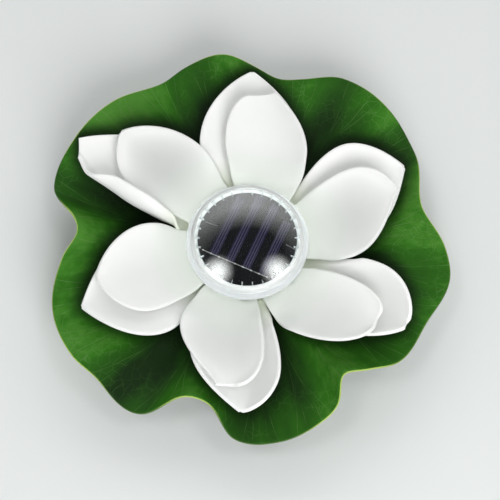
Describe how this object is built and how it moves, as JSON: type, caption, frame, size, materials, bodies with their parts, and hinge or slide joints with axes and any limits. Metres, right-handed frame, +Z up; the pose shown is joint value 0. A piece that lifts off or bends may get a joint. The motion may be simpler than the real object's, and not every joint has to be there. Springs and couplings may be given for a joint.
{
  "type": "floating pool light",
  "caption": "Floating solar lotus light: a sealed lamp with a domed clear cover, solar panel and base switch, push-fitted into layered foam petals over a ruffled foam lily pad.",
  "frame": {"origin": "centre of the base's flat underside, on the lamp's axis", "axes": "+Z up along the lamp's axis, +Y away from the picture's viewer, +X to the viewer's right; the base switch is on the -Y side of the axis"},
  "size_m": [0.2772, 0.2859, 0.0667],
  "materials": {
    "leaf_foam": "dark green closed-cell foam, faintly veined",
    "petal_foam": "white closed-cell foam, satin",
    "clear_plastic": "clear, glossy",
    "white_plastic": "white, satin",
    "white_rubber": "white, matt",
    "black_rubber": "black, matt",
    "silicone": "grey, matt",
    "panel_resin": "black, glossy",
    "silicon": "dark purple-grey, fine lines",
    "tinned_copper": "tinned, pale grey",
    "plated_steel": "nickel plated",
    "board": "green solder mask",
    "led_resin": "clear resin",
    "ferrite": "dark grey, matt",
    "cell_wrap": "green shrink wrap on a metal can",
    "black_plastic": "black, satin",
    "red_wire": "red insulation",
    "black_wire": "black insulation"
  },
  "bodies": {
    "flower": {"leaf_pad": "leaf_foam", "outer_petals": "petal_foam", "inner_petals": "petal_foam"},
    "lamp": {"housing_cup": "clear_plastic", "lens_cover": "clear_plastic", "cover_seal": "white_rubber", "solar_panel": "panel_resin", "solar_cell_1": "silicon", "solar_cell_2": "silicon", "solar_cell_3": "silicon", "solar_cell_4": "silicon", "bus_ribbon": "tinned_copper", "reflector_plate": "white_plastic", "panel_lead_positive": "red_wire", "panel_lead_negative": "black_wire", "base_cap": "white_plastic", "base_gasket": "black_rubber", "base_screw_1": "plated_steel", "base_screw_2": "plated_steel", "base_screw_3": "plated_steel", "circuit_board": "board", "led_1": "led_resin", "led_2": "led_resin", "driver_chip": "black_plastic", "boost_inductor": "ferrite", "battery_holder": "black_plastic", "battery_cell": "cell_wrap", "battery_contact_positive": "plated_steel", "battery_contact_negative": "plated_steel", "switch_body": "black_plastic"},
    "switch_button": {"switch_boot": "silicone", "switch_plunger": "white_plastic"}
  },
  "joints": [
    {"name": "lamp_lift", "type": "slide", "parent": "flower", "child": "lamp", "axis": [0, 0, 1], "range_m": [0, 0.045]},
    {"name": "switch_press", "type": "slide", "parent": "lamp", "child": "switch_button", "axis": [0, 0, 1], "range_m": [0, 0.0012], "stiffness_N_per_m": 1200}
  ]
}
